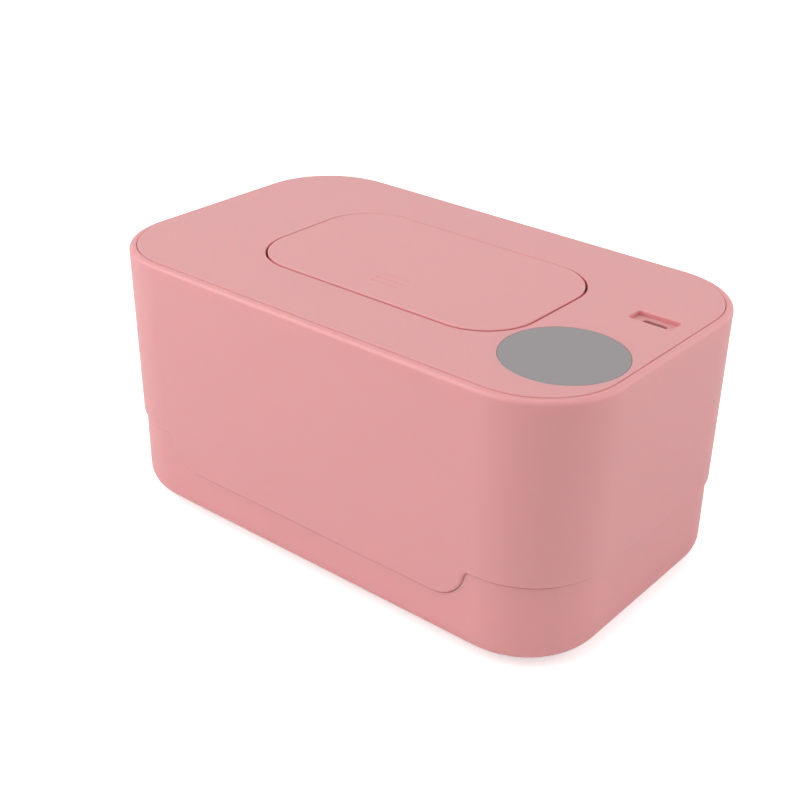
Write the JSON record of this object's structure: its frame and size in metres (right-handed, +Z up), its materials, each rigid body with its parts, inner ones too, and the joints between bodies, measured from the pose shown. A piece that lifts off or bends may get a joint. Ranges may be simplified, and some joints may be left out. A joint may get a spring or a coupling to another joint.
{
  "type": "baby wipe warmer",
  "caption": "Low rounded box in pink plastic with a flush flip-up hatch, a grey touch display disc, a charging port and a lift-off upper housing.",
  "frame": {"origin": "middle of the footprint, on the surface that the feet stand on", "axes": "+X along the length towards the display and port, +Y towards the hatch's hinge, +Z up"},
  "size_m": [0.2, 0.12, 0.098],
  "materials": {
    "shell_plastic": "satin moulded ABS, dusty pink",
    "inner_plastic": "satin moulded ABS, deeper pink",
    "disc_plastic": "satin translucent polycarbonate, warm grey",
    "foot_rubber": "matte moulded rubber",
    "silicone": "matte silicone",
    "steel": "bright zinc-plated",
    "spring_steel": "drawn wire",
    "aluminium": "rolled sheet",
    "heater_film": "amber polyimide film",
    "foam": "closed-cell foam",
    "circuit_board": "solder-masked laminate",
    "component_black": "moulded epoxy",
    "acetal": "natural acetal",
    "red_lead": "PVC insulated wire",
    "white_lead": "PVC insulated wire"
  },
  "bodies": {
    "base": {"base_tray": "shell_plastic", "rubber_feet": "foot_rubber"},
    "housing": {"outer_shell": "shell_plastic", "top_cover": "shell_plastic", "hatch_well": "shell_plastic", "throat_sleeve": "inner_plastic", "cover_screws": "steel", "display_lens": "disc_plastic", "led_display": "component_black", "touch_spring": "spring_steel", "control_board": "circuit_board", "board_parts": "component_black", "board_screws": "steel", "usb_socket": "steel", "heater_frame": "inner_plastic", "frame_screws": "steel", "heater_plate": "aluminium", "heating_film": "heater_film", "heater_insulation": "foam", "thermistor": "component_black", "thermal_fuse": "steel", "heater_leads": "red_lead", "sensor_leads": "white_lead", "dispensing_membrane": "silicone", "hinge_pin": "steel", "lid_spring": "spring_steel", "latch_case": "acetal", "latch_spring": "spring_steel", "latch_hook_pin": "spring_steel"},
    "latch_plunger": {"latch_plunger": "acetal"},
    "lid": {"flip_lid": "shell_plastic", "lid_inner": "inner_plastic", "lid_gasket": "silicone"}
  },
  "joints": [
    {"name": "housing_lift", "type": "slide", "parent": "base", "child": "housing", "axis": [0, 0, 1], "range_m": [0, 0.06]},
    {"name": "lid_hinge", "type": "hinge", "parent": "housing", "child": "lid", "pos_m": [0, 0.041, 0.0938], "axis": [-1, 0, 0], "range_deg": [0, 90]},
    {"name": "latch_press", "type": "slide", "parent": "housing", "child": "latch_plunger", "axis": [0, 0, 1], "range_m": [-0.001, 0.0025], "stiffness_N_per_m": 300, "deforming": ["latch_spring"]}
  ]
}
